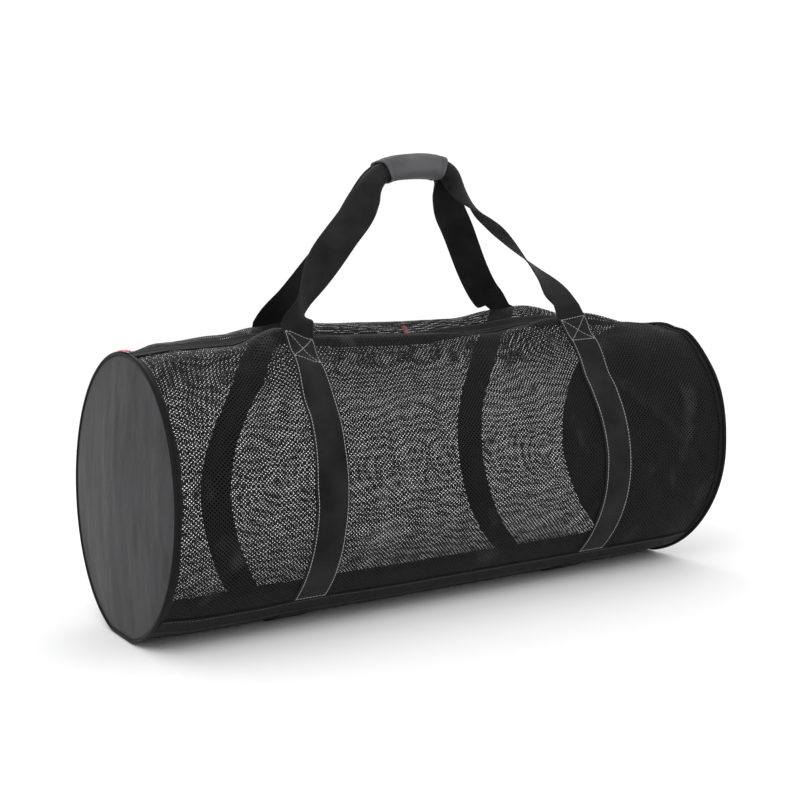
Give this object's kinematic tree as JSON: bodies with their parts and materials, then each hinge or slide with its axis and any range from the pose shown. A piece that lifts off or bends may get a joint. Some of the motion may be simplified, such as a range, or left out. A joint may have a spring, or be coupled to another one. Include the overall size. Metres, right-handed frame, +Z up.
{
  "type": "mesh dive gear bag",
  "caption": "Large round duffel for dive gear: see-through net sides, solid base and round ends, top zip, webbing straps that meet in a wrapped grip.",
  "frame": {"origin": "middle of the bag's floor outline, on the surface that it rests on", "axes": "+X along the bag, -Y the front that the picture shows, +Z up through the handles"},
  "size_m": [0.925, 0.3914, 0.6445],
  "materials": {
    "net": "matt black warp-knit polyester net with open diamond holes",
    "base_cloth": "coated black woven polyester, low sheen",
    "webbing": "black ribbed polypropylene webbing, soft sheen",
    "tape": "black grosgrain seam tape",
    "end_cloth": "dark grey coated woven polyester, faint wrinkles",
    "piping": "black coated piping, satin",
    "zip_tape": "black woven zip tape",
    "zip_teeth": "black moulded coil teeth, satin",
    "zip_slider": "black enamelled zinc",
    "pull_cloth": "muted red woven tape",
    "tab_cloth": "faded red woven tape",
    "grip_cloth": "mid grey padded woven cloth"
  },
  "bodies": {
    "root": {"mesh_panel_front": "net", "mesh_panel_rear": "net", "base_panel": "base_cloth", "base_strap_left": "webbing", "base_strap_right": "webbing", "base_tape_front": "tape", "base_tape_rear": "tape", "end_panel_left": "end_cloth", "end_panel_right": "end_cloth", "end_piping_left": "piping", "end_piping_right": "piping", "zipper_tape_front": "zip_tape", "zipper_tape_rear": "zip_tape", "zipper_chain": "zip_teeth", "zipper_slider": "zip_slider", "zipper_pull": "pull_cloth", "zipper_end_tab": "tab_cloth", "strap_front": "webbing", "strap_rear": "webbing", "handle_wrap": "grip_cloth"}
  },
  "joints": []
}
